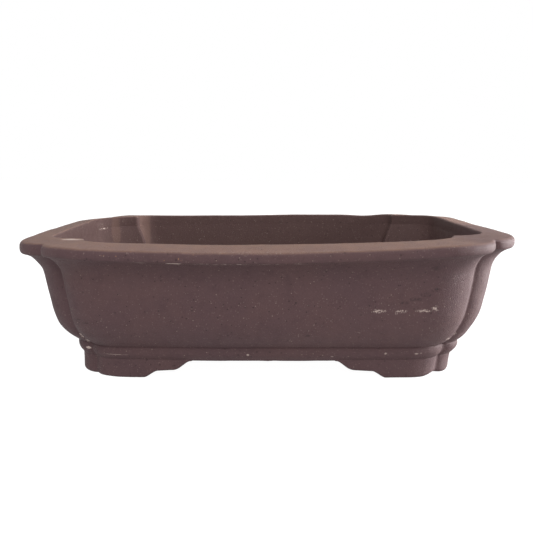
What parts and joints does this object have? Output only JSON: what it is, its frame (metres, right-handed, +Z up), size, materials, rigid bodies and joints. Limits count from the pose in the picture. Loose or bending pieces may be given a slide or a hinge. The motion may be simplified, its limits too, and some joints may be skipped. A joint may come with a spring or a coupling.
{
  "type": "bonsai pot",
  "caption": "Shallow lobed rectangular bonsai pot in unglazed stoneware, with a flared rim, a base band, bracket feet and drainage holes.",
  "frame": {"origin": "on the ground under the middle of the pot, in the plane of the four foot pads", "axes": "+X along the pot's length, to the right seen from the front; +Y from the front to the back; +Z up"},
  "size_m": [0.3, 0.23, 0.0876],
  "materials": {
    "stoneware_body": "unglazed matte purple-brown stoneware, finely speckled",
    "stoneware_rim": "unglazed matte purple-brown stoneware, rubbed smooth and slightly paler",
    "stoneware_base": "unglazed matte purple-brown stoneware, finely speckled"
  },
  "bodies": {
    "root": {"floor_slab": "stoneware_base", "wall_front": "stoneware_body", "wall_back": "stoneware_body", "wall_left": "stoneware_body", "wall_right": "stoneware_body", "rim_front": "stoneware_rim", "rim_back": "stoneware_rim", "rim_left": "stoneware_rim", "rim_right": "stoneware_rim", "band_front": "stoneware_base", "band_back": "stoneware_base", "band_left": "stoneware_base", "band_right": "stoneware_base", "foot_front_left": "stoneware_base", "foot_front_right": "stoneware_base", "foot_back_left": "stoneware_base", "foot_back_right": "stoneware_base"}
  },
  "joints": []
}
